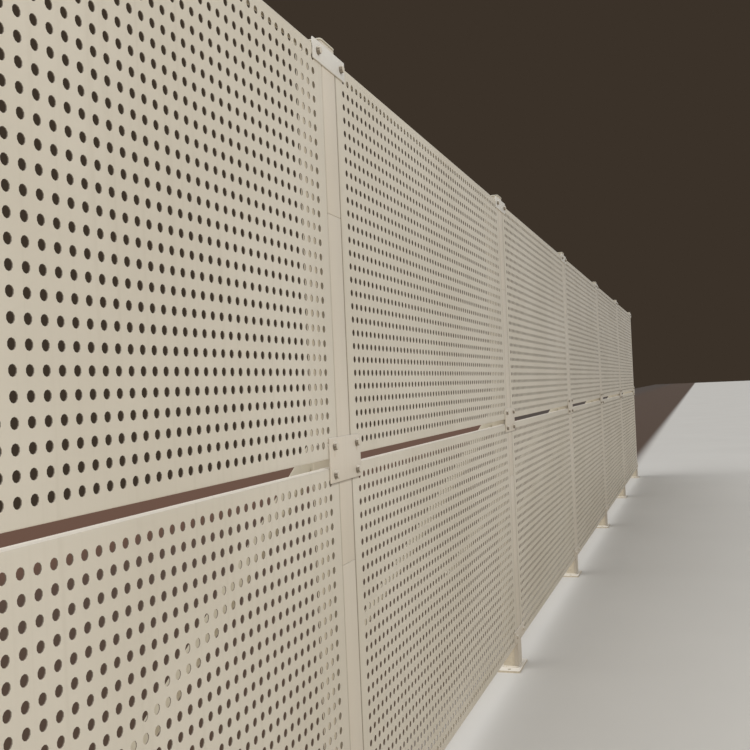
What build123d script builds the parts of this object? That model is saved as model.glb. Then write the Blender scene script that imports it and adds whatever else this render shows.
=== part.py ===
from build123d import *
from math import pi, sqrt
import os

os.makedirs("parts", exist_ok=True)

# A row of perforated steel hoarding, in millimetres.
# x runs along the row, y from its public face to its back, and z up.
# The origin is under the middle post, on the ground.

# The row
bays = 6
bay = 2520

# Panels: folded trays of steel sheet, one above the other in each bay
sheet = 2
panel_height = 1160
panel_clearance = 1
panel_depth = 30
panel_lip = 15
panel_ground_gap = 138
panel_gap = 26

# Punched field of a panel, in whole pitches: a margin is the least from an edge to a hole's middle
hole_diameter = 20
hole_pitch = 40
side_margin = 60
edge_margin = 30

# To keep their faces few, the solids carry one square-cornered opening for each block of holes,
# with the open area of the block. Blocks of 1 by 1 give an opening for each hole.
block_columns = 9
block_rows = 9

# Posts: rectangular tube on a base plate
post_width = 100
post_depth = 80
post_wall = 4
post_rise = 28
base_length = 240
base_depth = 120
base_thickness = 10
anchor_diameter = 18
anchor_spacing = 180

# Facing: a shallow channel over the post's front, in metre lengths from above the base plate
facing_ground_gap = 18
facing_sheet = 3
facing_leg = 20
facing_length = 1000
facing_joint_gap = 2

# Lugs welded to the sides of a post, behind the panels, each with a slot for one bolt
lug_reach = 65
lug_height = 36
lug_thickness = 6

# Plates bolted over the panel corners: the middle ones sit a little above the gap's middle,
# and the bottom ones wholly on the panels
plate_width = 250
plate_thickness = 5
middle_plate_height = 130
middle_plate_lift = 8
edge_plate_height = 60
top_plate_rise = 15
bottom_plate_setback = 14
bolt_hole_diameter = 14
bolt_spacing_x = 180
bolt_spacing_z = 80

# Caps on the posts, over the facings too
cap_overhang = 2
cap_thickness = 5
cap_neck = 2
cap_plug_depth = 20
cap_clearance = 0.5

# Raking braces behind the posts
brace_size = 50
brace_head_height = 1340
brace_foot_reach = 977
head_plate_width = 80
head_plate_height = 170
head_plate_thickness = 6
foot_plate_width = 160
foot_plate_depth = 110
foot_plate_thickness = 8
foot_anchor_spacing = 110

# Levels and planes that follow
lower_panel_foot = panel_ground_gap
lower_panel_top = lower_panel_foot + panel_height
upper_panel_foot = lower_panel_top + panel_gap
upper_panel_top = upper_panel_foot + panel_height
post_top = upper_panel_top + post_rise
public_face = -post_depth / 2 - facing_sheet
lug_face = public_face + panel_depth

# The plates' middles and the bolts' levels
bottom_level = lower_panel_foot + bottom_plate_setback + edge_plate_height / 2
middle_level = lower_panel_top + panel_gap / 2 + middle_plate_lift
top_level = upper_panel_top + top_plate_rise - edge_plate_height / 2
middle_bolts = (middle_level - bolt_spacing_z / 2, middle_level + bolt_spacing_z / 2)
bolt_levels = (bottom_level, *middle_bolts, top_level)

post_places = [bay * (number - bays / 2) for number in range(bays + 1)]
# Bolt holes stand open only on the two outer sides, where a further bay would join.
open_sides = {1: -1, bays + 1: 1}


def save(piece, name):
    """Names a finished piece and writes it."""
    piece.label = name
    export_step(piece, f"parts/{name}.step")


def front_plane(y):
    """An upright plane at depth y, seen from the public side: x to the right, z up."""
    return Plane(origin=(0, y, 0), x_dir=(1, 0, 0), z_dir=(0, -1, 0))


def open_holes(number, post_x, levels):
    """The places of the bolt holes that stand open: those on the outer side of an end post."""
    if number not in open_sides:
        return []
    return [(post_x + open_sides[number] * bolt_spacing_x / 2, level) for level in levels]


# Posts, each with its base plate and eight slotted lugs welded on
slot_start = (bolt_spacing_x - bolt_hole_diameter) / 2
slot_length = post_width / 2 + lug_reach - slot_start
slot_middle = slot_start + slot_length / 2
for number, post_x in enumerate(post_places, start=1):
    with BuildPart() as post:
        with BuildSketch(Plane.XY):
            with Locations((post_x, 0)):
                Rectangle(base_length, base_depth)
                with GridLocations(anchor_spacing, base_depth, 2, 1):
                    Circle(anchor_diameter / 2, mode=Mode.SUBTRACT)
        extrude(amount=base_thickness)
        with BuildSketch(Plane.XY.offset(base_thickness)):
            with Locations((post_x, 0)):
                Rectangle(post_width, post_depth)
                Rectangle(post_width - 2 * post_wall, post_depth - 2 * post_wall, mode=Mode.SUBTRACT)
        extrude(amount=post_top - base_thickness)
        with BuildSketch(front_plane(lug_face + lug_thickness)):
            for side in (-1, 1):
                lug_x = post_x + side * (post_width + lug_reach) / 2
                slot_x = post_x + side * slot_middle
                with Locations(*[(lug_x, level) for level in bolt_levels]):
                    Rectangle(lug_reach, lug_height)
                with Locations(*[(slot_x, level) for level in bolt_levels]):
                    Rectangle(slot_length, bolt_hole_diameter, mode=Mode.SUBTRACT)
        extrude(amount=lug_thickness)
    save(post.part, f"post_{number}")

# Panels: a punched face, four folded returns and the lips that they end in
panel_width = bay - post_width - 2 * facing_sheet - 2 * panel_clearance
columns = int((panel_width - 2 * side_margin) / hole_pitch) + 1
rows = int((panel_height - 2 * edge_margin) / hole_pitch) + 1
blocks = (int(columns / block_columns), int(rows / block_rows))
block_width = block_columns * hole_pitch
block_height = block_rows * hole_pitch
open_share = sqrt(pi / 4) * hole_diameter / hole_pitch
for number in range(1, bays + 1):
    middle_x = bay * (number - bays / 2 - 1 / 2)
    for place, foot in (("lower", lower_panel_foot), ("upper", upper_panel_foot)):
        middle = (middle_x, foot + panel_height / 2)
        with BuildPart() as panel:
            with BuildSketch(front_plane(public_face + sheet)):
                with Locations(middle):
                    Rectangle(panel_width, panel_height)
                    with GridLocations(block_width, block_height, *blocks):
                        Rectangle(open_share * block_width, open_share * block_height, mode=Mode.SUBTRACT)
            extrude(amount=sheet)
            with BuildSketch(front_plane(lug_face)):
                with Locations(middle):
                    Rectangle(panel_width, panel_height)
                    Rectangle(panel_width - 2 * sheet, panel_height - 2 * sheet, mode=Mode.SUBTRACT)
            extrude(amount=panel_depth - sheet)
            with BuildSketch(front_plane(lug_face)):
                with Locations(middle):
                    Rectangle(panel_width, panel_height)
                    Rectangle(panel_width - 2 * panel_lip, panel_height - 2 * panel_lip, mode=Mode.SUBTRACT)
            extrude(amount=sheet)
        save(panel.part, f"panel_{place}_{number}")

# Facings: lengths of channel on each post, up to the post's top
facing_joints = [
    facing_ground_gap + facing_length * count
    for count in range(1, int((post_top - facing_ground_gap) / facing_length) + 1)
]
facing_ends = (facing_ground_gap, *facing_joints, post_top)
facing_inside = post_width
facing_outside = facing_inside + 2 * facing_sheet
with BuildPart() as facings:
    for post_x in post_places:
        for low, high in zip(facing_ends, facing_ends[1:]):
            with BuildSketch(Plane.XY.offset(low)):
                with Locations((post_x, public_face + facing_leg / 2)):
                    Rectangle(facing_outside, facing_leg)
                with Locations((post_x, public_face + facing_sheet + facing_leg / 2)):
                    Rectangle(facing_inside, facing_leg, mode=Mode.SUBTRACT)
            extrude(amount=high - low - (0 if high == post_top else facing_joint_gap))
save(facings.part, "post_facings")

# Plates over the panel corners, at the rows' ends with open holes
plates = (
    ("middle", middle_level, middle_plate_height, middle_bolts),
    ("top", top_level, edge_plate_height, (top_level,)),
)
for number, post_x in enumerate(post_places, start=1):
    for name, level, height, levels in plates:
        with BuildPart() as plate:
            with BuildSketch(front_plane(public_face)):
                with Locations((post_x, level)):
                    Rectangle(plate_width, height)
                for place in open_holes(number, post_x, levels):
                    with Locations(place):
                        Circle(bolt_hole_diameter / 2, mode=Mode.SUBTRACT)
            extrude(amount=plate_thickness)
        save(plate.part, f"{name}_plate_{number}")

with BuildPart() as bottom_plates:
    with BuildSketch(front_plane(public_face)):
        for number, post_x in enumerate(post_places, start=1):
            with Locations((post_x, bottom_level)):
                Rectangle(plate_width, edge_plate_height)
            for place in open_holes(number, post_x, (bottom_level,)):
                with Locations(place):
                    Circle(bolt_hole_diameter / 2, mode=Mode.SUBTRACT)
    extrude(amount=plate_thickness)
save(bottom_plates.part, "bottom_plates")

# Caps: a lid on a short neck, with a plug that fits inside the tube
plug_width = post_width - 2 * post_wall - 2 * cap_clearance
plug_depth = post_depth - 2 * post_wall - 2 * cap_clearance
lid_width = facing_outside + 2 * cap_overhang
lid_depth = post_depth + facing_sheet + 2 * cap_overhang
with BuildPart() as caps:
    for post_x in post_places:
        with BuildSketch(Plane.XY.offset(post_top - cap_plug_depth)):
            with Locations((post_x, 0)):
                Rectangle(plug_width, plug_depth)
        extrude(amount=cap_plug_depth)
        with BuildSketch(Plane.XY.offset(post_top)):
            with Locations((post_x, 0)):
                Rectangle(post_width - post_wall, post_depth - post_wall)
        extrude(amount=cap_neck)
        with BuildSketch(Plane.XY.offset(post_top + cap_neck)):
            with Locations((post_x, -facing_sheet / 2)):
                Rectangle(lid_width, lid_depth)
        extrude(amount=cap_thickness)
save(caps.part, "post_caps")

# Braces: a raking bar between a plate on the post's back and a foot plate
brace_start = post_depth / 2 + head_plate_thickness
brace_lean = (brace_foot_reach - brace_start) / (brace_head_height - foot_plate_thickness)
half_slope = brace_size / 2 * (1 + brace_lean**2) ** 0.5
for number, post_x in enumerate(post_places, start=1):
    with BuildPart() as brace:
        with BuildSketch(front_plane(brace_start)):
            with Locations((post_x, brace_head_height)):
                Rectangle(head_plate_width, head_plate_height)
        extrude(amount=head_plate_thickness)
        with BuildSketch(Plane.XY):
            with Locations((post_x, brace_foot_reach)):
                Rectangle(foot_plate_width, foot_plate_depth)
                with GridLocations(foot_anchor_spacing, foot_plate_depth, 2, 1):
                    Circle(anchor_diameter / 2, mode=Mode.SUBTRACT)
        extrude(amount=foot_plate_thickness)
        with BuildSketch(Plane.YZ.offset(post_x)):
            with BuildLine():
                Polyline(
                    (brace_start, brace_head_height - half_slope / brace_lean),
                    (brace_start, brace_head_height + half_slope / brace_lean),
                    (brace_foot_reach + half_slope, foot_plate_thickness),
                    (brace_foot_reach - half_slope, foot_plate_thickness),
                    close=True,
                )
            make_face()
        extrude(amount=brace_size / 2, both=True)
    save(brace.part, f"brace_{number}")
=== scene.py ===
from math import radians

import bpy
import numpy as np
from mathutils import Matrix, Vector
from mathutils.geometry import delaunay_2d_cdt


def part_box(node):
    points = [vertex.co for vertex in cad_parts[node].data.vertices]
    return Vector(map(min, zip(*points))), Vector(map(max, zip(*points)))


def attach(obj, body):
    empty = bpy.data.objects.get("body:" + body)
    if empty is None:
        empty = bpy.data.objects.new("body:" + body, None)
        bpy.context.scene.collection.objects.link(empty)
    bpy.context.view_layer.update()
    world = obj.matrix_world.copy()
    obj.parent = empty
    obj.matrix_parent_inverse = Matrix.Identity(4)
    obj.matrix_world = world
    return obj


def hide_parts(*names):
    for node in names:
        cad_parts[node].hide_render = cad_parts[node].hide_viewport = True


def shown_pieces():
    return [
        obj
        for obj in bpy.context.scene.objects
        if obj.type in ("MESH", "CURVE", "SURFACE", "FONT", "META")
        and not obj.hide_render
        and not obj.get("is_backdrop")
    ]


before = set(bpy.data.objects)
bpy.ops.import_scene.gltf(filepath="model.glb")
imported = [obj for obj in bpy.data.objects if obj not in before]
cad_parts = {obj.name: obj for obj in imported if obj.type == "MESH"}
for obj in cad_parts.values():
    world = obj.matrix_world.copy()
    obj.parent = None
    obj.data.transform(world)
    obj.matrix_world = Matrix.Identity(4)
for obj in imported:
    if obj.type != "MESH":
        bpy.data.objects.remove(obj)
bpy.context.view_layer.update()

bayCount = 6
bayLength = 2.520
postNumbers = range(1, bayCount + 2)
bayNumbers = range(1, bayCount + 1)
boltLevels = {"bottom": (0.182,), "middle": (1.279, 1.359), "top": (2.469,)}
everyLevel = sum(boltLevels.values(), ())
boltReach = 0.090


# Surfaces: arrays of points and faces

def shell(rings, closed=False):
    # Rings of points joined by quads, ring r point k to ring r+1 point k+1. The two ends are capped, or with
    # closed the last ring joins the first.
    rings = np.asarray(rings, float)
    count, around = rings.shape[:2]
    index = np.arange(count * around).reshape(count, around)
    here, there = (index, np.roll(index, -1, 0)) if closed else (index[:-1], index[1:])
    quads = np.stack([here, np.roll(here, -1, 1), np.roll(there, -1, 1), there], -1).reshape(-1, 4)
    return outward(rings.reshape(-1, 3), [quads] if closed else [quads, index[:1, ::-1], index[-1:]])


def outward(points, groups):
    # Signed volume, a sixth of the sum of a . (b x c) over each face's fan of triangles: below zero, all faces turn.
    volume = 0
    for group in groups:
        fan = points[group]
        volume += np.einsum("fi,fki->", fan[:, 0], np.cross(fan[:, 1:-1], fan[:, 2:]))
    return points, groups if volume > 0 else [group[:, ::-1] for group in groups]


def join(parts):
    # Parts laid end to end in one list of points; each part's faces count on from the points before it.
    points = np.concatenate([part[0] for part in parts])
    starts = np.cumsum([0] + [len(part[0]) for part in parts[:-1]])
    return points, [group + start for part, start in zip(parts, starts) for group in part[1]]


def copies(part, places):
    # The same part once at every place.
    points, groups = part
    places = np.asarray(places, float).reshape(-1, 3)
    steps = np.arange(len(places)) * len(points)
    spread = (points[None] + places[:, None]).reshape(-1, 3)
    return spread, [(group[None] + steps[:, None, None]).reshape(-1, group.shape[1]) for group in groups]


def rectangleOutline(width, height, radius, steps=3):
    # Anticlockwise from the right: each corner's centre plus radius times (cos, sin) over its quarter turn.
    radius = max(radius, 1e-5)
    turn = np.linspace(0, np.pi / 2, steps + 1) + np.arange(4)[:, None] * np.pi / 2
    middleU = np.array([1, -1, -1, 1])[:, None] * (width / 2 - radius)
    middleV = np.array([1, 1, -1, -1])[:, None] * (height / 2 - radius)
    return np.stack([middleU + radius * np.cos(turn), middleV + radius * np.sin(turn)], -1).reshape(-1, 2)


def circleOutline(radius, sides):
    turn = 2 * np.pi * np.arange(sides) / sides
    return radius * np.stack([np.cos(turn), np.sin(turn)], -1)


def evenOutline(outline, count):
    # Points at equal steps of length along a closed outline.
    loop = np.vstack([outline, outline[:1]])
    along = np.concatenate([[0], np.cumsum(np.linalg.norm(np.diff(loop, axis=0), axis=1))])
    steps = np.linspace(0, along[-1], count, endpoint=False)
    return np.stack([np.interp(steps, along, loop[:, 0]), np.interp(steps, along, loop[:, 1])], -1)


def onFront(flat, y):
    # An outline's (u, v) as x and z, at depth y.
    return np.column_stack([flat[:, 0], np.full(len(flat), y), flat[:, 1]])


def onLevel(flat, z):
    # An outline's (u, v) as x and y, at height z.
    return np.column_stack([flat[:, 0], flat[:, 1], np.full(len(flat), z)])


def roundedSlab(width, height, thickness, cornerRadius, edgeRadius, lay=onFront):
    # A plate whose outline shrinks along a quarter circle towards both faces: inset e(1 - cos a), depth e(1 - sin a).
    bend = np.linspace(0, np.pi / 2, 3)
    inset, depth = edgeRadius * (1 - np.cos(bend)), edgeRadius * (1 - np.sin(bend))
    insets = np.concatenate([inset[::-1], inset])
    depths = np.concatenate([depth[::-1], thickness - depth])
    return shell([
        lay(rectangleOutline(width - 2 * i, height - 2 * i, cornerRadius - i), d) for i, d in zip(insets, depths)
    ])


def piercedSlab(outline, holes, thickness, lay=onFront):
    # A plate with holes: both faces are triangulated between the outline and the holes' rims, which walls join.
    # A triangle whose corners are all on one hole's rim lies in that hole, and is left out.
    loops = [outline, *holes]
    flat = np.concatenate(loops)
    total = len(flat)
    owner = np.repeat(np.arange(len(loops)), [len(loop) for loop in loops])
    starts = np.searchsorted(owner, np.arange(len(loops)))
    after = np.concatenate([start + np.roll(np.arange(len(loop)), -1) for start, loop in zip(starts, loops)])
    edges = np.column_stack([np.arange(total), after])
    found = delaunay_2d_cdt([Vector(point) for point in flat], edges.tolist(), [], 1, 1e-7)
    source = np.array([first[0] for first in found[3]])
    faces = source[np.array(found[2])]
    rims = owner[faces]
    faces = faces[(rims[:, 0] == 0) | (rims != rims[:, :1]).any(1)]
    a, b, c = (flat[faces[:, k]] for k in range(3))
    turned = (b - a)[:, 0] * (c - a)[:, 1] - (b - a)[:, 1] * (c - a)[:, 0] < 0
    faces[turned] = faces[turned][:, ::-1]
    walls = [np.column_stack([edges, edges[:, ::-1] + total])]
    walls[0][owner > 0] = walls[0][owner > 0][:, [1, 0, 3, 2]]
    points = np.concatenate([lay(flat, 0), lay(flat, thickness)])
    return outward(points, [faces[:, ::-1], faces + total, *walls])


def moved(part, x=0, y=0, z=0):
    return part[0] + np.array([x, y, z]), part[1]


def makePiece(name, part, finish, nodes=(), softAngle=40, edgeFinish=None, edgeGroup=0):
    # Faces that meet under softAngle shade as one surface, sharper edges stay crisp, and faces with more than four
    # corners are flat. The faces of one group may take another finish.
    points, groups = part
    sizes = np.concatenate([np.full(len(group), group.shape[1]) for group in groups])
    mesh = bpy.data.meshes.new(name)
    mesh.vertices.add(len(points))
    mesh.vertices.foreach_set("co", points.astype(np.float32).ravel())
    mesh.loops.add(int(sizes.sum()))
    mesh.loops.foreach_set("vertex_index", np.concatenate([group.ravel() for group in groups]).astype(np.int32))
    mesh.polygons.add(len(sizes))
    mesh.polygons.foreach_set("loop_start", (np.cumsum(sizes) - sizes).astype(np.int32))
    mesh.update(calc_edges=True)
    mesh.polygons.foreach_set("use_smooth", sizes <= 4)
    mesh.set_sharp_from_angle(angle=radians(softAngle))
    mesh.materials.append(finish)
    if edgeFinish:
        mesh.materials.append(edgeFinish)
        turns = [np.full(len(group), number == edgeGroup) for number, group in enumerate(groups)]
        mesh.polygons.foreach_set("material_index", np.concatenate(turns).astype(np.int32))
    piece = bpy.data.objects.new(name, mesh)
    bpy.context.scene.collection.objects.link(piece)
    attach(piece, "root")
    if nodes:
        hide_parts(*nodes)
    return piece


# Finishes

def linear(hexColour):
    # sRGB to linear light: c / 12.92 up to 0.04045, above it ((c + 0.055) / 1.055) ** 2.4.
    levels = np.array([int(hexColour[k:k + 2], 16) for k in (1, 3, 5)]) / 255
    levels = np.where(levels <= 0.04045, levels / 12.92, ((levels + 0.055) / 1.055) ** 2.4)
    return (*levels.tolist(), 1.0)


def perMetre(millimetres):
    # The texture scale at which one feature of the pattern is that wide.
    return 1000 / millimetres


def addNode(tree, kind, inputs=None, **settings):
    # settings are the node's own properties; inputs are numbers, colours or other nodes' sockets.
    node = tree.nodes.new(kind)
    for name, value in settings.items():
        setattr(node, name, value)
    for name, value in (inputs or {}).items():
        if isinstance(value, bpy.types.NodeSocket):
            tree.links.new(value, node.inputs[name])
        else:
            node.inputs[name].default_value = value
    return node


# Widths, lengths and depths of the patterns are in millimetres, and splashTop is a height in metres. A share is how
# far a layer covers the coat at most, and a fade is the pair of noise levels between which it comes up.
coatLook = {
    "colour": "#CEC7B8", "shade": "#C3BBAA",
    "cloudWidth": 700, "cloudFade": (0.35, 0.65), "cloudShare": 0.6,
    "runWidth": 22, "runLength": 800, "runFade": (0.5, 0.75), "runShare": 0.10, "runColour": "#9C917B",
    "splashTop": 0.28, "splashWidth": 14, "splashFade": (0.42, 0.62), "splashFilm": 0.35, "splashShare": 0.14,
    "splashColour": "#84745C",
    # Faces that look up take pale dust and a painted highlight, lighter as if lit from above
    "dustSlope": (0.55, 0.95), "dustShare": 0.8, "dustColour": "#F1EBE1",
    "chipWidth": 7, "chipFade": (0.70, 0.73), "chipShare": 0.0, "chipColour": "#6E5A45",
    "stainWidth": 9, "stainFade": (0.35, 0.6), "stainShare": 0.0, "stainColour": "#A5894F",
    # The joint, plate and bolt layers are painted shade: darker joints beside each facing, a painted shadow under each
    # middle plate and painted shade round the lower half of each bolt
    "jointShares": (0.0, 0.0), "jointColour": "#6E604C",
    "ringShare": 0.0, "ledgeShare": 0.0, "grimeColour": "#5A4C3B",
    "roughness": 0.42, "dullRoughness": 0.68,
    "peelWidth": 3.2, "peelDepth": 0.045, "waveWidth": 340, "waveDepth": 2.2,
}

# Where rust and painted shade lie round a post, in metres. A pair is the distance at which a mark starts and that
# at which it is full, and jointSides are the two sides of the post.
marks = {
    "jointReach": 0.0535, "jointEdge": (0.0065, 0.002), "jointSides": (-0.04, 0.04),
    "plateFoot": 1.256, "ledgeDrop": (0.009, 0.003), "ledgeCover": (0.020, 0.010), "ledgeReach": (0.127, 0.121),
    "ringOuter": (0.0145, 0.0125), "ringInner": (0.0092, 0.0098), "ringRise": (0.008, 0.002),
    "stainEdge": (0.009, 0.001), "stainHead": (0.008, 0.012), "stainTail": (0.042, 0.012),
}

smooth = {"interpolation_type": "SMOOTHSTEP"}


def dirtMarks(tree, look, place, axes):
    # Layers of rust and painted shade at set places round every post. x wrapped to one bay is how far a point lies
    # from its post's middle, along the row.
    bay = addNode(tree, "ShaderNodeMath", {0: axes[0], 1: bayLength / 2, 2: -bayLength / 2}, operation="WRAP")
    reach = addNode(tree, "ShaderNodeMath", {0: bay.outputs[0]}, operation="ABSOLUTE")
    layers = []

    if look["jointShares"][1]:
        # Painted shade in the joint between a facing and the panels beside it, darker on the right
        offset = addNode(tree, "ShaderNodeMath", {0: reach.outputs[0], 1: marks["jointReach"]}, operation="SUBTRACT")
        away = addNode(tree, "ShaderNodeMath", {0: offset.outputs[0]}, operation="ABSOLUTE")
        (left, right), (leftShare, rightShare) = marks["jointSides"], look["jointShares"]
        sides = addNode(tree, "ShaderNodeMapRange", {
            0: bay.outputs[0], 1: left, 2: right, 3: leftShare, 4: rightShare})
        start, full = marks["jointEdge"]
        joint = addNode(tree, "ShaderNodeMapRange", {0: away.outputs[0], 1: start, 2: full}, **smooth)
        joint = addNode(tree, "ShaderNodeMath", {0: joint.outputs[0], 1: sides.outputs[0]}, operation="MULTIPLY")
        layers.append((look["jointColour"], joint))

    if look["ledgeShare"]:
        # Painted shadow on the sheet close under each middle plate's lower edge
        start, full = (marks["plateFoot"] - drop for drop in marks["ledgeDrop"])
        below = addNode(tree, "ShaderNodeMapRange", {
            0: axes[2], 1: start, 2: full, 3: 0.0, 4: look["ledgeShare"]}, **smooth)
        start, full = (marks["plateFoot"] + rise for rise in marks["ledgeCover"])
        covered = addNode(tree, "ShaderNodeMapRange", {0: axes[2], 1: start, 2: full}, **smooth)
        start, full = marks["ledgeReach"]
        across = addNode(tree, "ShaderNodeMapRange", {0: reach.outputs[0], 1: start, 2: full}, **smooth)
        ledge = addNode(tree, "ShaderNodeMath", {0: below.outputs[0], 1: covered.outputs[0]}, operation="MULTIPLY")
        ledge = addNode(tree, "ShaderNodeMath", {0: ledge.outputs[0], 1: across.outputs[0]}, operation="MULTIPLY")
        layers.append((look["grimeColour"], ledge))

    if look["ringShare"]:
        # Painted shade round the lower half of each middle and top bolt: on the head's flanks, the washer's rim and
        # the plate beside it
        offset = addNode(tree, "ShaderNodeMath", {0: reach.outputs[0], 1: boltReach}, operation="SUBTRACT")
        for level in (*boltLevels["middle"], *boltLevels["top"]):
            rise = addNode(tree, "ShaderNodeMath", {0: axes[2], 1: level}, operation="SUBTRACT")
            spread = addNode(tree, "ShaderNodeCombineXYZ", {0: offset.outputs[0], 1: rise.outputs[0]})
            length = addNode(tree, "ShaderNodeVectorMath", {0: spread.outputs[0]}, operation="LENGTH")
            radius = length.outputs["Value"]
            start, full = marks["ringOuter"]
            outer = addNode(tree, "ShaderNodeMapRange", {
                0: radius, 1: start, 2: full, 3: 0.0, 4: look["ringShare"]}, **smooth)
            start, full = marks["ringInner"]
            inner = addNode(tree, "ShaderNodeMapRange", {0: radius, 1: start, 2: full}, **smooth)
            start, full = marks["ringRise"]
            under = addNode(tree, "ShaderNodeMapRange", {0: rise.outputs[0], 1: start, 2: full}, **smooth)
            ring = addNode(tree, "ShaderNodeMath", {0: outer.outputs[0], 1: inner.outputs[0]}, operation="MULTIPLY")
            ring = addNode(tree, "ShaderNodeMath", {0: ring.outputs[0], 1: under.outputs[0]}, operation="MULTIPLY")
            layers.append((look["grimeColour"], ring))

    if look["stainShare"]:
        # Rust washed out of the upper bolts of each middle plate: a narrow run below them
        offset = addNode(tree, "ShaderNodeMath", {0: reach.outputs[0], 1: boltReach}, operation="SUBTRACT")
        aside = addNode(tree, "ShaderNodeMath", {0: offset.outputs[0]}, operation="ABSOLUTE")
        start, full = marks["stainEdge"]
        stain = addNode(tree, "ShaderNodeMapRange", {0: aside.outputs[0], 1: start, 2: full}, **smooth)
        wander = addNode(tree, "ShaderNodeTexNoise", {
            0: place, "Scale": perMetre(look["stainWidth"]), "Detail": 3.0})
        start, full = look["stainFade"]
        patchy = addNode(tree, "ShaderNodeMapRange", {
            0: wander.outputs[0], 1: start, 2: full, 3: 0.0, 4: look["stainShare"]}, **smooth)
        stain = addNode(tree, "ShaderNodeMath", {0: stain.outputs[0], 1: patchy.outputs[0]}, operation="MULTIPLY")
        level = boltLevels["middle"][1]
        start, full = (level - drop for drop in marks["stainHead"])
        head = addNode(tree, "ShaderNodeMapRange", {0: axes[2], 1: start, 2: full}, **smooth)
        start, full = (level - drop for drop in marks["stainTail"])
        tail = addNode(tree, "ShaderNodeMapRange", {0: axes[2], 1: start, 2: full}, **smooth)
        below = addNode(tree, "ShaderNodeMath", {0: head.outputs[0], 1: tail.outputs[0]}, operation="MULTIPLY")
        stain = addNode(tree, "ShaderNodeMath", {0: stain.outputs[0], 1: below.outputs[0]}, operation="MULTIPLY")
        layers.append((look["stainColour"], stain))
    return layers


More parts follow.
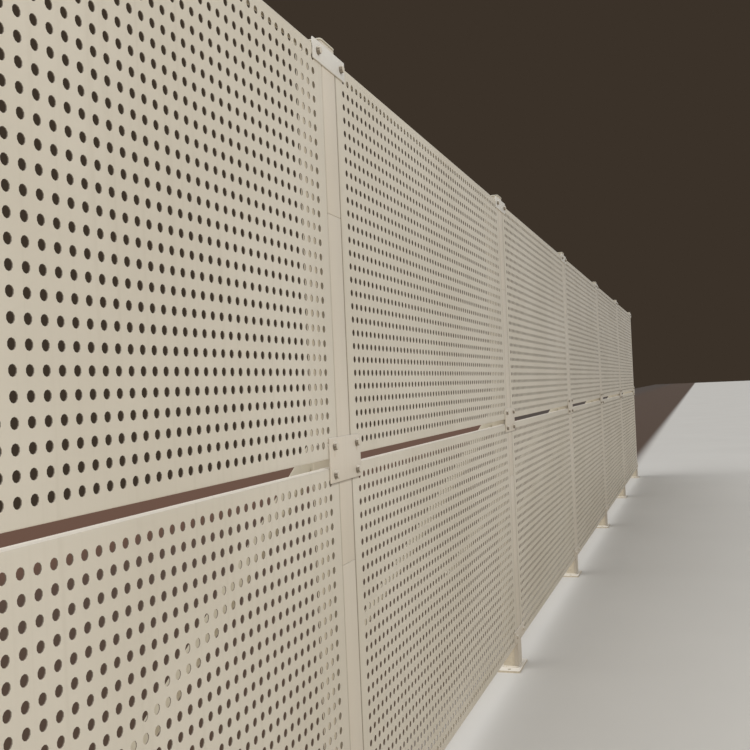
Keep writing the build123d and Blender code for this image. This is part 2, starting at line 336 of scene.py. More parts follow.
def powderCoat(name, **changes):
    # Polyester powder sprayed dry on steel and baked: an even cream skin with a soft shine, lightly pebbled like
    # orange peel and a little wavy with the sheet under it. Outdoors it takes faint vertical runs from rain, pale
    # dust and a painted highlight on faces that look up and splashed mud at its foot, and dust and mud are duller
    # than the coat. Punched edges are darker with painted shade, and painted shade darkens the joints, the sheet
    # under the plates and the lower half of each bolt.
    look = {**coatLook, **changes}
    finish = bpy.data.materials.new(name)
    finish.use_nodes = True
    tree = finish.node_tree
    coat = tree.nodes["Principled BSDF"]
    place = addNode(tree, "ShaderNodeTexCoord").outputs["Object"]
    axes = addNode(tree, "ShaderNodeSeparateXYZ", {0: place}).outputs
    normal = addNode(tree, "ShaderNodeNewGeometry").outputs["Normal"]
    upward = addNode(tree, "ShaderNodeSeparateXYZ", {0: normal}).outputs["Z"]

    # Broad clouds of a slightly deeper tone, as one batch of powder differs from the next
    cloud = addNode(tree, "ShaderNodeTexNoise", {0: place, "Scale": perMetre(look["cloudWidth"]), "Detail": 3.0})
    start, full = look["cloudFade"]
    clouds = addNode(tree, "ShaderNodeMapRange", {
        0: cloud.outputs[0], 1: start, 2: full, 3: 0.0, 4: look["cloudShare"]}, **smooth)
    layers = [(look["shade"], clouds)]

    # Rain runs: noise drawn out along z
    across, along = perMetre(look["runWidth"]), perMetre(look["runLength"])
    drawn = addNode(tree, "ShaderNodeMapping", {0: place, "Scale": (across, across, along)})
    run = addNode(tree, "ShaderNodeTexNoise", {0: drawn.outputs[0], "Scale": 1.0, "Detail": 4.0})
    start, full = look["runFade"]
    runs = addNode(tree, "ShaderNodeMapRange", {
        0: run.outputs[0], 1: start, 2: full, 3: 0.0, 4: look["runShare"]}, **smooth)
    layers.append((look["runColour"], runs))

    # Mud splashed over the foot: a thin film and denser spots, both fading with height
    low = addNode(tree, "ShaderNodeMapRange", {0: axes[2], 1: look["splashTop"], 2: 0.0, 3: 0.0, 4: 1.0}, **smooth)
    spot = addNode(tree, "ShaderNodeTexNoise", {
        0: place, "Scale": perMetre(look["splashWidth"]), "Detail": 5.0, "Roughness": 0.65})
    start, full = look["splashFade"]
    film = look["splashFilm"] * look["splashShare"]
    spots = addNode(tree, "ShaderNodeMapRange", {
        0: spot.outputs[0], 1: start, 2: full, 3: film, 4: look["splashShare"]}, **smooth)
    mud = addNode(tree, "ShaderNodeMath", {0: low.outputs[0], 1: spots.outputs[0]}, operation="MULTIPLY")
    layers.append((look["splashColour"], mud))

    # Pale dust and a painted highlight on faces that look up, lighter as if lit from above
    start, full = look["dustSlope"]
    dust = addNode(tree, "ShaderNodeMapRange", {0: upward, 1: start, 2: full, 3: 0.0, 4: look["dustShare"]}, **smooth)
    layers.append((look["dustColour"], dust))

    if look["jointShares"][1] or look["ringShare"]:
        layers += dirtMarks(tree, look, place, axes)

    if look["chipShare"]:
        # Small chips, a few millimetres across, down to the primer
        knock = addNode(tree, "ShaderNodeTexNoise", {
            0: place, "Scale": perMetre(look["chipWidth"]), "Detail": 3.0, "Roughness": 0.7})
        start, full = look["chipFade"]
        chips = addNode(tree, "ShaderNodeMapRange", {
            0: knock.outputs[0], 1: start, 2: full, 3: 0.0, 4: look["chipShare"]}, **smooth)
        layers.append((look["chipColour"], chips))

    colour = linear(look["colour"])
    for tone, share in layers:
        mixed = addNode(tree, "ShaderNodeMix", {0: share.outputs[0], 6: colour, 7: linear(tone)}, data_type="RGBA")
        colour = mixed.outputs[2]
    tree.links.new(colour, coat.inputs["Base Color"])

    # Mud, dust and the painted highlight are duller than the coat
    dull = addNode(tree, "ShaderNodeMath", {0: mud.outputs[0], 1: dust.outputs[0]}, operation="MAXIMUM")
    shine = addNode(tree, "ShaderNodeMapRange", {
        0: dull.outputs[0], 1: 0.0, 2: 0.6, 3: look["roughness"], 4: look["dullRoughness"]}, **smooth)
    tree.links.new(shine.outputs[0], coat.inputs["Roughness"])

    # Orange peel over the sheet's own slow waves
    peel = addNode(tree, "ShaderNodeTexNoise", {0: place, "Scale": perMetre(look["peelWidth"]), "Detail": 1.0})
    pebbled = addNode(tree, "ShaderNodeBump", {
        "Height": peel.outputs[0], "Strength": 1.0, "Distance": look["peelDepth"] / 1000})
    wave = addNode(tree, "ShaderNodeTexNoise", {0: place, "Scale": perMetre(look["waveWidth"]), "Detail": 1.0})
    wavy = addNode(tree, "ShaderNodeBump", {
        "Height": wave.outputs[0], "Strength": 1.0, "Distance": look["waveDepth"] / 1000,
        "Normal": pebbled.outputs[0]})
    tree.links.new(wavy.outputs[0], coat.inputs["Normal"])
    return finish


# Trays and facings take painted shade in the joints beside each facing and a painted shadow under each middle plate
trayCoat = powderCoat("trayPowderCoat", jointShares=(0.3, 0.7), ledgeShare=0.5)
# The holes' walls are darker: painted shade, as if they lay in shade. They take no dust or painted highlight.
punchedEdgeCoat = powderCoat(
    "punchedEdgeThinCoat", colour="#7A7063", shade="#6C6357", roughness=0.65, dustShare=0.0, waveDepth=0.0)
facingCoat = powderCoat(
    "facingPowderCoat", colour="#D0C7B8", shade="#C6BDAC", jointShares=(0.3, 0.7), ledgeShare=0.5,
    waveWidth=220, waveDepth=1.4)
# Plates and top plates take painted shade round the lower half of each bolt
plateCoat = powderCoat(
    "platePowderCoat", colour="#D1C8B9", shade="#C8BFAF", stainShare=0.5, ringShare=0.7, chipShare=0.6, waveDepth=0.4)
topPlateCoat = powderCoat(
    "topPlatePowderCoat", colour="#D5D2CA", shade="#CECAC1", ringShare=0.7, chipShare=0.6, waveDepth=0.4)
capCoat = powderCoat("capPowderCoat", colour="#CDC8B8", shade="#C2BCAA", waveDepth=0.3)
postCoat = powderCoat("postPowderCoat", colour="#CCC2AE", shade="#BDB29C", splashShare=0.3, chipShare=0.4)
braceCoat = powderCoat(
    "braceCreamPaint", colour="#CBC3B0", shade="#BBB29D", splashShare=0.3, chipShare=0.5, chipColour="#8E918F",
    roughness=0.5, peelWidth=5, peelDepth=0.09, waveDepth=0.5)
# Bolts take painted shade on the lower half of each head and washer
boltCoat = powderCoat(
    "boltCreamPaint", colour="#CFC7B8", shade="#BEB4A2", ringShare=0.75, chipShare=0.55, chipWidth=4,
    chipColour="#7D6A52", roughness=0.38, peelDepth=0.06, waveDepth=0.1)
print("finishes made")


# The punched trays

tray = {
    "pitch": 0.040, "holeDiameter": 0.0204, "holeSides": 10,
    "sheet": 0.002, "lip": 0.015, "sideMargin": 0.060, "edgeMargin": 0.030, "foldRadius": 0.0035,
    "leftGap": 0.0015, "buckle": 0.0016, "wavesAlong": (0.6, 2.2), "wavesUp": (-1, 1), "wavePhases": (0, 6.28),
}


def punchedTray(low, high, seed):
    width, depth, height = high - low
    middle = (low + high) / 2
    left = np.array([tray["leftGap"], 0, 0, tray["leftGap"]])
    pitch, sides, sheet, radius = tray["pitch"], tray["holeSides"], tray["sheet"], tray["foldRadius"]
    columns = int((width - 2 * tray["sideMargin"]) / pitch + 1e-6) + 1
    rows = int((height - 2 * tray["edgeMargin"]) / pitch + 1e-6) + 1
    lineX = middle[0] + pitch * (np.arange(columns + 1) - columns / 2)
    lineZ = middle[2] + pitch * (np.arange(rows + 1) - rows / 2)

    # Lattice corners, and a ring of points round each hole's centre
    corners = np.stack(np.meshgrid(lineX, lineZ, indexing="ij"), -1)
    turn = 2 * np.pi * (np.arange(sides) + 0.5) / sides
    ring = tray["holeDiameter"] / 2 * np.stack([np.cos(turn), np.sin(turn)], -1)
    centres = np.stack(np.meshgrid(lineX[:-1] + pitch / 2, lineZ[:-1] + pitch / 2, indexing="ij"), -1)
    rings = centres[:, :, None] + ring
    flat = np.concatenate([corners.reshape(-1, 2), rings.reshape(-1, 2)])
    cornerIndex = np.arange(corners[..., 0].size).reshape(columns + 1, rows + 1)
    ringIndex = cornerIndex.size + np.arange(columns * rows * sides).reshape(columns, rows, sides)

    # Buckling: three slow waves sin(2 pi (a u + b v) + phase) added up, held to nothing at the field's edges by the
    # square root of sin(pi u) sin(pi v)
    chance = np.random.default_rng(seed)
    u = (flat[:, 0] - lineX[0]) / (lineX[-1] - lineX[0])
    v = (flat[:, 1] - lineZ[0]) / (lineZ[-1] - lineZ[0])
    a, b, phase = (chance.uniform(*tray[span], (3, 1)) for span in ("wavesAlong", "wavesUp", "wavePhases"))
    bow = np.sin(2 * np.pi * (a * u + b * v) + phase).sum(0)
    bow = tray["buckle"] / 3 * bow * np.clip(np.sin(np.pi * u) * np.sin(np.pi * v), 0, None) ** 0.5
    front = np.column_stack([flat[:, 0], low[1] + bow, flat[:, 1]])
    count = len(front)

    # Each cell's front: a triangle from every side of the hole to its nearest corner, and one more between corners
    square = np.stack([cornerIndex[1:, 1:], cornerIndex[:-1, 1:], cornerIndex[:-1, :-1], cornerIndex[1:, :-1]], -1)
    cell = np.concatenate([ringIndex.reshape(-1, sides), square.reshape(-1, 4)], 1)
    side = np.arange(sides)
    nearest = ((side + 1) * 4 // sides) % 4
    fans = np.stack([side, sides + nearest, (side + 1) % sides], -1)
    switch = side[nearest != np.roll(nearest, 1)]
    links = np.stack([sides + nearest[switch - 1], sides + nearest[switch], switch], -1)
    face = cell[:, np.concatenate([fans, links])].reshape(-1, 3)
    around = ringIndex.reshape(-1, sides)
    after = np.roll(around, -1, 1)
    walls = np.stack([around, after, after + count, around + count], -1).reshape(-1, 4)

    # The folded edge: (inset, depth) of each ring, from the front round to the sheet's inside
    quarter, inner = np.linspace(0, np.pi / 2, 6), np.linspace(np.pi / 2, 0, 3)
    small = radius - sheet
    fold = [(radius - radius * np.sin(a), radius - radius * np.cos(a)) for a in quarter]
    fold += [(radius - radius * np.cos(a), depth - radius + radius * np.sin(a)) for a in quarter]
    fold += [(tray["lip"], depth), (tray["lip"], depth - sheet)]
    fold += [(radius - small * np.cos(a), depth - radius + small * np.sin(a)) for a in inner]
    fold += [(radius - small * np.sin(a), radius - small * np.cos(a)) for a in inner]
    fold = np.array(fold)
    signX, signZ = np.array([-1, 1, 1, -1]), np.array([-1, -1, 1, 1])
    frameRings = np.stack([
        middle[0] + signX * (width / 2 - fold[:, :1]) + left,
        np.repeat(low[1] + fold[:, 1:], 4, 1),
        middle[2] + signZ * (height / 2 - fold[:, :1]),
    ], -1)
    foldIndex = 2 * count + np.arange(len(fold) * 4).reshape(-1, 4)
    here, there = foldIndex[:-1], foldIndex[1:]
    bands = np.stack([there, np.roll(there, -1, 1), np.roll(here, -1, 1), here], -1).reshape(-1, 4)

    # Plain margins between the field and the fold, one face on each side, front and back
    margins = []
    for edge, (a, b) in zip(
        (cornerIndex[::-1, 0], cornerIndex[-1, ::-1], cornerIndex[:, -1], cornerIndex[0, :]),
        ((0, 1), (1, 2), (2, 3), (3, 0)),
    ):
        margins.append(np.concatenate([edge, [foldIndex[0, a], foldIndex[0, b]]])[None])
        margins.append(np.concatenate([edge + count, [foldIndex[-1, a], foldIndex[-1, b]]])[None, ::-1])
    points = np.concatenate([front, front + [0, sheet, 0], frameRings.reshape(-1, 3)])
    return outward(points, [face, face[:, ::-1] + count, walls, bands, *margins])


for number in bayNumbers:
    for place in ("lower", "upper"):
        node = f"panel_{place}_{number}"
        low, high = (np.array(corner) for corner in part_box(node))
        makePiece(f"punchedTray_{place}_{number}", punchedTray(low, high, number * 2 + (place == "upper")),
                  trayCoat, [node], edgeFinish=punchedEdgeCoat, edgeGroup=2)
print("trays punched and folded")


# Posts with their base plates, slotted lugs and welds

post = {
    "width": 0.100, "depth": 0.080, "wall": 0.004, "cornerRadius": 0.008,
    "baseLength": 0.240, "baseDepth": 0.120, "baseThickness": 0.010, "baseCorner": 0.004,
    "anchorReach": 0.090, "anchorRadius": 0.009,
    "lugReach": 0.065, "lugHeight": 0.036, "lugThickness": 0.006, "lugSink": 0.001, "slotHeight": 0.014,
    "weldSize": 0.006, "weldSteps": 56,
}
postX = [bayLength * (number - 1 - bayCount / 2) for number in postNumbers]
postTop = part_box("post_1")[1].z
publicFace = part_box("panel_lower_1")[0].y
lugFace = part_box("panel_lower_1")[1].y
plateLevels = {
    place: ((low.z + high.z) / 2, high.z - low.z)
    for place, (low, high) in (
        ("bottom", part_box("bottom_plates")), ("middle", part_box("middle_plate_1")), ("top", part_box("top_plate_1")))
}


def rectangularTube(width, depth, wall, radius, low, high):
    # Up the outside, over the rim and down the inside.
    outside = rectangleOutline(width, depth, radius, 4)
    inside = rectangleOutline(width - 2 * wall, depth - 2 * wall, radius - wall, 4)
    return shell([onLevel(outside, low), onLevel(outside, high), onLevel(inside, high), onLevel(inside, low)], True)


def slottedLug(side, level):
    # A plate whose outer end is cut by a slot, which ends in a half circle round the bolt's place.
    half, rise = post["slotHeight"] / 2, post["lugHeight"] / 2
    start, end = post["width"] / 2 - post["lugSink"], post["width"] / 2 + post["lugReach"]
    bend = np.linspace(-np.pi / 2, -3 * np.pi / 2, 7)
    slot = np.column_stack([boltReach + half * np.cos(bend), half * np.sin(bend)])
    outline = np.concatenate([
        [[start, -rise], [end, -rise], [end, -half]], slot, [[end, half], [end, rise], [start, rise]],
    ]) * [side, 1] + [0, level]
    return shell([onFront(outline, lugFace), onFront(outline, lugFace + post["lugThickness"])])


def weldBead(width, depth, radius, level, size, steps):
    # A fillet's section, five points of reach and rise, carried round the foot's outline. Ripples: size times
    # 1 + 0.1 cos(pi step), so that steps reach and rise a tenth more and a tenth less in turn.
    foot = evenOutline(rectangleOutline(width, depth, radius, 4), steps)
    push = evenOutline(rectangleOutline(width + 2 * size, depth + 2 * size, radius + size, 4), steps) - foot
    ripple = size * (1 + 0.1 * np.cos(np.pi * np.arange(steps)))
    section = np.array([(-0.15, -0.1), (-0.15, 1.05), (0.42, 0.78), (0.78, 0.42), (1.05, -0.1)])
    return shell([
        np.column_stack([foot + push * (reach * ripple / size)[:, None], level + rise * ripple])
        for reach, rise in section
    ], True)


holeSides = 20
anchorRing = circleOutline(post["anchorRadius"], holeSides)
wholePost = join([
    piercedSlab(
        rectangleOutline(post["baseLength"], post["baseDepth"], post["baseCorner"], 2),
        [anchorRing + [side * post["anchorReach"], 0] for side in (-1, 1)], post["baseThickness"], onLevel),
    rectangularTube(post["width"], post["depth"], post["wall"], post["cornerRadius"], post["baseThickness"], postTop),
    weldBead(post["width"], post["depth"], post["cornerRadius"], post["baseThickness"],
             post["weldSize"], post["weldSteps"]),
    *(slottedLug(side, level) for side in (-1, 1) for level in everyLevel),
])
for number, x in zip(postNumbers, postX):
    makePiece(f"weldedPost_{number}", moved(wholePost, x), postCoat, [f"post_{number}"])
print("posts welded")


# Facings: a shallow channel over each post's front, in three lengths

facing = {
    "sheet": 0.003, "leg": 0.020, "width": 0.106, "foldRadius": 0.0045,
    "jointLevels": (1.018, 2.018), "jointGap": 0.0008, "endRadius": 0.0014,
}


def channelOutline(inset):
    # Round the outside of the channel from one leg's end to the other, and back along its inside. Each fold is a
    # quarter circle of the outer or the inner radius about the same centre. inset takes that much off every side.
    quarter = np.linspace(0, np.pi / 2, 5)
    outer, inner = facing["foldRadius"] - inset, facing["foldRadius"] - facing["sheet"] + inset
    middle, depth = facing["width"] / 2 - facing["foldRadius"], publicFace + facing["foldRadius"]
    legEnd = publicFace + facing["leg"] - inset
    sine, cosine = np.sin(quarter), np.cos(quarter)
    return np.concatenate([
        [[-middle - outer, legEnd]],
        np.column_stack([-middle - outer * cosine, depth - outer * sine]),
        np.column_stack([middle + outer * sine, depth - outer * cosine]),
        [[middle + outer, legEnd], [middle + inner, legEnd]],
        np.column_stack([middle + inner * cosine, depth - inner * sine]),
        np.column_stack([-middle - inner * sine, depth - inner * cosine]),
        [[-middle - inner, legEnd]],
    ])


def channelLength(low, high):
    # Its ends are rounded: inset r(1 - sin a) at depth r(1 - cos a) from the end.
    bend, radius = np.linspace(0, np.pi / 2, 4), facing["endRadius"]
    insets, depths = radius * (1 - np.sin(bend)), radius * (1 - np.cos(bend))
    start = [onLevel(channelOutline(inset), low + depth) for inset, depth in zip(insets, depths)]
    end = [onLevel(channelOutline(inset), high - depth) for inset, depth in zip(insets[::-1], depths[::-1])]
    return shell(start + end)


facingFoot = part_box("post_facings")[0].z
starts = (facingFoot, *facing["jointLevels"])
ends = (*(level - facing["jointGap"] for level in facing["jointLevels"]), postTop)
channel = join([channelLength(low, high) for low, high in zip(starts, ends)])
makePiece("postFacings", copies(channel, [(x, 0, 0) for x in postX]), facingCoat, ["post_facings"])


# Plates over the panel corners

plate = {
    "width": 0.250, "thickness": 0.005, "cornerRadius": 0.003, "edgeRadius": 0.0022, "holeRadius": 0.007,
    "trim": {"bottom": 0, "middle": 0.004, "top": 0},
}


def cornerPlate(number, place):
    # The end posts' plates have open holes on their outer side. A trim takes that much off the CAD piece's height.
    level, height = plateLevels[place]
    height -= plate["trim"][place]
    outer = {1: -1, bayCount + 1: 1}.get(number)
    if outer:
        outline = rectangleOutline(plate["width"], height, plate["cornerRadius"], 2)
        rim = circleOutline(plate["holeRadius"], holeSides)
        rims = [rim + [outer * boltReach, hole - level] for hole in boltLevels[place]]
        slab = piercedSlab(outline, rims, plate["thickness"])
    else:
        slab = roundedSlab(plate["width"], height, plate["thickness"], plate["cornerRadius"], plate["edgeRadius"])
    return moved(slab, postX[number - 1], publicFace - plate["thickness"], level)


for number in postNumbers:
    for place in ("middle", "top"):
        makePiece(f"{place}CornerPlate_{number}", cornerPlate(number, place),
                  topPlateCoat if place == "top" else plateCoat, [f"{place}_plate_{number}"])
makePiece("bottomCornerPlates", join([cornerPlate(number, "bottom") for number in postNumbers]),
          plateCoat, ["bottom_plates"])


# Caps: a pressed lid above a narrow neck, with a plug inside the tube

cap = {
    "overhang": 0.002, "lid": 0.005, "lidCorner": 0.009, "lidEdge": 0.0022,
    "neck": 0.002, "neckStep": 0.004, "neckCorner": 0.006, "plug": 0.020, "plugStep": 0.009, "plugCorner": 0.0035,
}
lidFront, lidBack = (corner.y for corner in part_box("post_caps"))
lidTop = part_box("post_caps")[1].z
lid = roundedSlab(facing["width"] + 2 * cap["overhang"], lidBack - lidFront,
                  cap["lid"], cap["lidCorner"], cap["lidEdge"], onLevel)
neckRing = rectangleOutline(post["width"] - cap["neckStep"], post["depth"] - cap["neckStep"], cap["neckCorner"])
plugRing = rectangleOutline(post["width"] - cap["plugStep"], post["depth"] - cap["plugStep"], cap["plugCorner"])
wholeCap = join([
    moved(lid, 0, (lidFront + lidBack) / 2, lidTop - cap["lid"]),
    shell([onLevel(neckRing, postTop), onLevel(neckRing, postTop + cap["neck"])]),
    shell([onLevel(plugRing, postTop - cap["plug"]), onLevel(plugRing, postTop)]),
])
makePiece("postCaps", copies(wholeCap, [(x, 0, 0) for x in postX]), capCoat, ["post_caps"])
print("facings, plates and caps fitted")


# Bolts

bolt = {
    "acrossFlats": 0.019, "crownShare": 0.95, "headHeight": 0.0075, "headSides": 24,
    "nutHeight": 0.010, "nutSides": 12,
    "shankRadius": 0.006, "shankSides": 10, "tail": 0.006, "tailChamfer": 0.001,
    "washerRadius": 0.012, "washerThickness": 0.0025, "washerSides": 16, "washerChamfer": 0.0005, "twist": 0.16,
}


def hexagonHead(height, sides, start, way, twist):
    # A hexagon's radius is half its width over the cosine of the angle from the nearest flat. A 30 degree cone
    # takes its corners down, so the top edge drops by tan 30 of how far the radius passes the flat crown's.
    turn = 2 * np.pi * np.arange(sides) / sides
    half = bolt["acrossFlats"] / 2
    crown = bolt["crownShare"] * half
    radius = half / np.cos((turn + np.pi / 6) % (np.pi / 3) - np.pi / 6)
    edge = height - (radius - crown) * np.tan(np.pi / 6)
    spoke = np.column_stack([np.cos(turn + twist), np.sin(turn + twist)])
    hexagon = radius[:, None] * spoke
    rings = [(hexagon, 0 * edge), (hexagon, edge), (crown * spoke, height + 0 * edge)]
    return shell([np.column_stack([flat[:, 0], start + way * rise, flat[:, 1]]) for flat, rise in rings])


def roundPart(radius, start, end, chamfer, sides):
    # A disc or pin along y with its far edge taken off.
    back = end - np.sign(end - start) * chamfer
    return shell([onFront(circleOutline(radius, sides), start), onFront(circleOutline(radius, sides), back),
                  onFront(circleOutline(radius - chamfer, sides), end)])


def washerOn(face, way):
    # way is -1 towards the public side and 1 away from it.
    return roundPart(
        bolt["washerRadius"], face, face + way * bolt["washerThickness"], bolt["washerChamfer"], bolt["washerSides"])


def boltSet(face, back, twist):
    # Head and washer on the public side, washer, nut and the bolt's tail behind.
    headStart, nutStart = face - bolt["washerThickness"], back + bolt["washerThickness"]
    tailEnd = nutStart + bolt["nutHeight"] + bolt["tail"]
    return join([
        washerOn(face, -1),
        hexagonHead(bolt["headHeight"], bolt["headSides"], headStart, -1, twist),
        roundPart(bolt["shankRadius"], headStart, tailEnd, bolt["tailChamfer"], bolt["shankSides"]),
        washerOn(back, 1),
        hexagonHead(bolt["nutHeight"], bolt["nutSides"], nutStart, 1, -twist * 3),
    ])


chance = np.random.default_rng(7)
plateFront = publicFace - plate["thickness"]
lugBack = lugFace + post["lugThickness"]
for number, x in zip(postNumbers, postX):
    sides = [side for side in (-1, 1) if 1 <= number + (side - 1) // 2 <= bayCount]
    spots = [(x + side * boltReach, level) for side in sides for level in everyLevel]
    sets = [
        moved(boltSet(plateFront, lugBack, chance.uniform(-bolt["twist"], bolt["twist"])), spot, 0, level)
        for spot, level in spots
    ]
    makePiece(f"plateBolts_{number}", join(sets), boltCoat)
print("bolts driven")


# Raking braces

brace = {
    "size": 0.050, "wall": 0.003, "cornerRadius": 0.006, "headLevel": 1.340, "footReach": 0.977,
    "headWidth": 0.080, "headHeight": 0.170, "headThickness": 0.006, "headEdge": 0.001,
    "headBoltReach": 0.066, "headBoltTwist": 0.1,
    "footWidth": 0.160, "footDepth": 0.110, "footThickness": 0.008, "plateCorner": 0.006, "anchorReach": 0.055,
    "weldSize": 0.005, "weldSteps": 40,
}
headBack = post["depth"] / 2 + brace["headThickness"]


def rakingBar():
    # A square tube whose axis runs from the head plate down to the foot plate. Each point (u, v) of its section
    # lies on a line along the axis, which is cut at the head by y = headBack and at the foot by z = footThickness.
    head = np.array([0, headBack, brace["headLevel"]])
    axis = np.array([0, brace["footReach"] - headBack, brace["footThickness"] - brace["headLevel"]])
    axis /= np.linalg.norm(axis)
    across = np.array([0, -axis[2], axis[1]])
    rings = []
    for inset, radius in ((0, brace["cornerRadius"]), (brace["wall"], brace["cornerRadius"] - brace["wall"])):
        section = rectangleOutline(brace["size"] - 2 * inset, brace["size"] - 2 * inset, radius)
        line = head + section[:, :1] * [1, 0, 0] + section[:, 1:] * across
        atHead = line + ((headBack - line[:, 1]) / axis[1])[:, None] * axis
        atFoot = line + ((brace["footThickness"] - line[:, 2]) / axis[2])[:, None] * axis
        rings.append((atHead, atFoot))
    (outerHead, outerFoot), (innerHead, innerFoot) = rings
    return shell([outerHead, outerFoot, innerFoot, innerHead], True)


# The slanting bar is cutDepth deep where it meets the foot plate, and cutDepth / lean tall at the head plate
lean = (brace["footReach"] - headBack) / (brace["headLevel"] - brace["footThickness"])
cutDepth = brace["size"] * (1 + lean ** 2) ** 0.5
footWeld = weldBead(brace["size"], cutDepth, brace["cornerRadius"], brace["footThickness"],
                    brace["weldSize"], brace["weldSteps"])
headWeld = weldBead(brace["size"], cutDepth / lean, brace["cornerRadius"], 0, brace["weldSize"], brace["weldSteps"])
headWeld = outward(headWeld[0][:, [0, 2, 1]], headWeld[1])
headBolt = join([
    washerOn(headBack, 1),
    hexagonHead(bolt["headHeight"], bolt["headSides"], headBack + bolt["washerThickness"], 1, brace["headBoltTwist"]),
])
headPlate = roundedSlab(
    brace["headWidth"], brace["headHeight"], brace["headThickness"], brace["plateCorner"], brace["headEdge"])
footPlate = piercedSlab(
    rectangleOutline(brace["footWidth"], brace["footDepth"], brace["plateCorner"], 2),
    [anchorRing + [side * brace["anchorReach"], 0] for side in (-1, 1)], brace["footThickness"], onLevel)
wholeBrace = join([
    moved(headPlate, 0, post["depth"] / 2, brace["headLevel"]),
    rakingBar(),
    moved(footPlate, 0, brace["footReach"]),
    moved(headWeld, 0, headBack, brace["headLevel"]),
    moved(footWeld, 0, brace["footReach"]),
    *(moved(headBolt, z=brace["headLevel"] + side * brace["headBoltReach"]) for side in (-1, 1)),
])
for number, x in zip(postNumbers, postX):
    makePiece(f"rakingBrace_{number}", moved(wholeBrace, x), braceCoat, [f"brace_{number}"])
print("braces set")


# Studio: a pale floor that turns brown under the row and ends behind it, a plain dark backdrop, a large softbox
# in front of the near end, a small one in front of the far end and a weaker soft lamp from behind

studio = {
    "floorReach": ((-60, 200), (-60, 8.0)), "floorColour": "#D6D3CD", "floorScuff": "#CDCAC4", "scuffWidth": 1500,
    "floorRoughness": 0.9,
    "floorBehind": "#4C3624", "floorTurns": (0.02, 0.30), "floorFar": "#6A4631", "farTurns": (3.6, 5.6),
    "floorDistant": "#42342A", "distantTurns": (29, 34), "floorBounce": "#DDD4C6",
    "backdropColour": "#3B3229", "ambient": 0.425,
    "softboxPlace": (-8.0, -5.8, 5.5), "softboxAim": (-6.0, 0, 1.1), "softboxSize": 5.0, "softboxPower": 270,
    "fillPlace": (8.0, -5.5, 1.2), "fillAim": (5.0, 0, 0.2), "fillSize": 3.0, "fillPower": 20,
    "backPlace": (0, 6, 8), "backAim": (0.45, -0.5, -0.74), "backEnergy": 1.5, "backSpread": 60,
}
(floorLeft, floorRight), (floorFront, floorBack) = studio["floorReach"]
floorMesh = bpy.data.meshes.new("paleFloor")
floorMesh.from_pydata(
    [(floorLeft, floorFront, 0), (floorRight, floorFront, 0), (floorRight, floorBack, 0), (floorLeft, floorBack, 0)],
    [], [(0, 1, 2, 3)])
paleFloor = bpy.data.objects.new("paleFloor", floorMesh)
bpy.context.scene.collection.objects.link(paleFloor)
paleFloor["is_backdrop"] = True
floorPaint = bpy.data.materials.new("mattFloorPaint")
floorPaint.use_nodes = True
floorTree = floorPaint.node_tree
floorShader = floorTree.nodes["Principled BSDF"]
floorPlace = addNode(floorTree, "ShaderNodeTexCoord").outputs["Object"]
floorAxes = addNode(floorTree, "ShaderNodeSeparateXYZ", {0: floorPlace}).outputs
scuffs = addNode(floorTree, "ShaderNodeTexNoise", {
    "Vector": floorPlace, "Scale": perMetre(studio["scuffWidth"]), "Detail": 4.0})
floorTone = addNode(floorTree, "ShaderNodeMix", {
    0: scuffs.outputs["Fac"], 6: linear(studio["floorColour"]), 7: linear(studio["floorScuff"])}, data_type="RGBA")
behind = addNode(floorTree, "ShaderNodeMapRange", {
    0: floorAxes["Y"], 1: studio["floorTurns"][0], 2: studio["floorTurns"][1]}, **smooth)
far = addNode(floorTree, "ShaderNodeMapRange", {
    0: floorAxes["Y"], 1: studio["farTurns"][0], 2: studio["farTurns"][1]}, **smooth)
distant = addNode(floorTree, "ShaderNodeMapRange", {
    0: floorAxes["X"], 1: studio["distantTurns"][0], 2: studio["distantTurns"][1]}, **smooth)
farBrown = addNode(floorTree, "ShaderNodeMix", {
    0: distant.outputs[0], 6: linear(studio["floorFar"]), 7: linear(studio["floorDistant"])}, data_type="RGBA")
brown = addNode(floorTree, "ShaderNodeMix", {
    0: far.outputs[0], 6: linear(studio["floorBehind"]), 7: farBrown.outputs[2]}, data_type="RGBA")
shownTone = addNode(floorTree, "ShaderNodeMix", {
    0: behind.outputs[0], 6: floorTone.outputs[2], 7: brown.outputs[2]}, data_type="RGBA")
floorSeen = addNode(floorTree, "ShaderNodeLightPath").outputs["Is Camera Ray"]
floorLook = addNode(floorTree, "ShaderNodeMix", {
    0: floorSeen, 6: linear(studio["floorBounce"]), 7: shownTone.outputs[2]}, data_type="RGBA")
floorTree.links.new(floorLook.outputs[2], floorShader.inputs["Base Color"])
floorShader.inputs["Roughness"].default_value = studio["floorRoughness"]
floorMesh.materials.append(floorPaint)

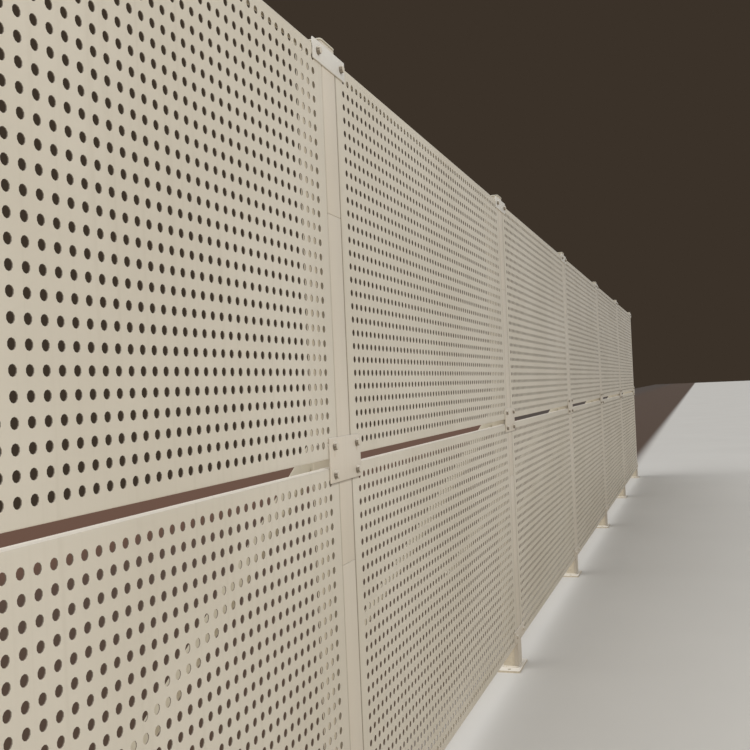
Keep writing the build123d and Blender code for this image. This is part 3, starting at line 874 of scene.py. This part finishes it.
sky = bpy.data.worlds.new("studioRoom")
sky.use_nodes = True
skyTree = sky.node_tree
skyTree.nodes.clear()
roomLight = addNode(skyTree, "ShaderNodeBackground", {"Color": (1, 1, 1, 1), "Strength": studio["ambient"]})
backdrop = addNode(skyTree, "ShaderNodeBackground", {"Color": linear(studio["backdropColour"]), "Strength": 1.0})
seen = addNode(skyTree, "ShaderNodeLightPath").outputs["Is Camera Ray"]
room = addNode(skyTree, "ShaderNodeMixShader", {0: seen, 1: roomLight.outputs[0], 2: backdrop.outputs[0]})
addNode(skyTree, "ShaderNodeOutputWorld", {"Surface": room.outputs[0]})
bpy.context.scene.world = sky


def placeLamp(name, kind, place, aim, **settings):
    lamp = bpy.data.lights.new(name, kind)
    for key, value in settings.items():
        setattr(lamp, key, value)
    lampObject = bpy.data.objects.new(name, lamp)
    lampObject.location = place
    lampObject.rotation_euler = Vector(aim).to_track_quat("-Z", "Y").to_euler()
    bpy.context.scene.collection.objects.link(lampObject)


softboxWay = Vector(studio["softboxAim"]) - Vector(studio["softboxPlace"])
placeLamp("frontSoftbox", "AREA", studio["softboxPlace"], softboxWay,
          size=studio["softboxSize"], energy=studio["softboxPower"])
fillWay = Vector(studio["fillAim"]) - Vector(studio["fillPlace"])
placeLamp("farFill", "AREA", studio["fillPlace"], fillWay, size=studio["fillSize"], energy=studio["fillPower"])
placeLamp("backLamp", "SUN", studio["backPlace"], studio["backAim"],
          energy=studio["backEnergy"], angle=radians(studio["backSpread"]))

eye = {
    "place": (-7.640, publicFace - 0.981, 1.512), "forward": (0.9473, 0.3200, 0.0148),
    "up": (-0.0022, -0.0463, 0.9989), "lens": 46.25, "clip": (0.05, 400),
}
forward = Vector(eye["forward"]).normalized()
right = forward.cross(Vector(eye["up"])).normalized()
turned = Matrix((right, right.cross(forward), -forward)).transposed()
camera = bpy.data.objects.new("eyeLevelCamera", bpy.data.cameras.new("eyeLevelCamera"))
camera.data.lens = eye["lens"]
camera.data.clip_start, camera.data.clip_end = eye["clip"]
camera.matrix_world = Matrix.Translation(eye["place"]) @ turned.to_4x4()
bpy.context.scene.collection.objects.link(camera)
bpy.context.scene.camera = camera
bpy.context.scene.view_settings.view_transform = "Standard"
print("studio lit")

triangles = sum(len(face.vertices) - 2 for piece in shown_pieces() for face in piece.data.polygons)
print("triangles shown:", triangles)
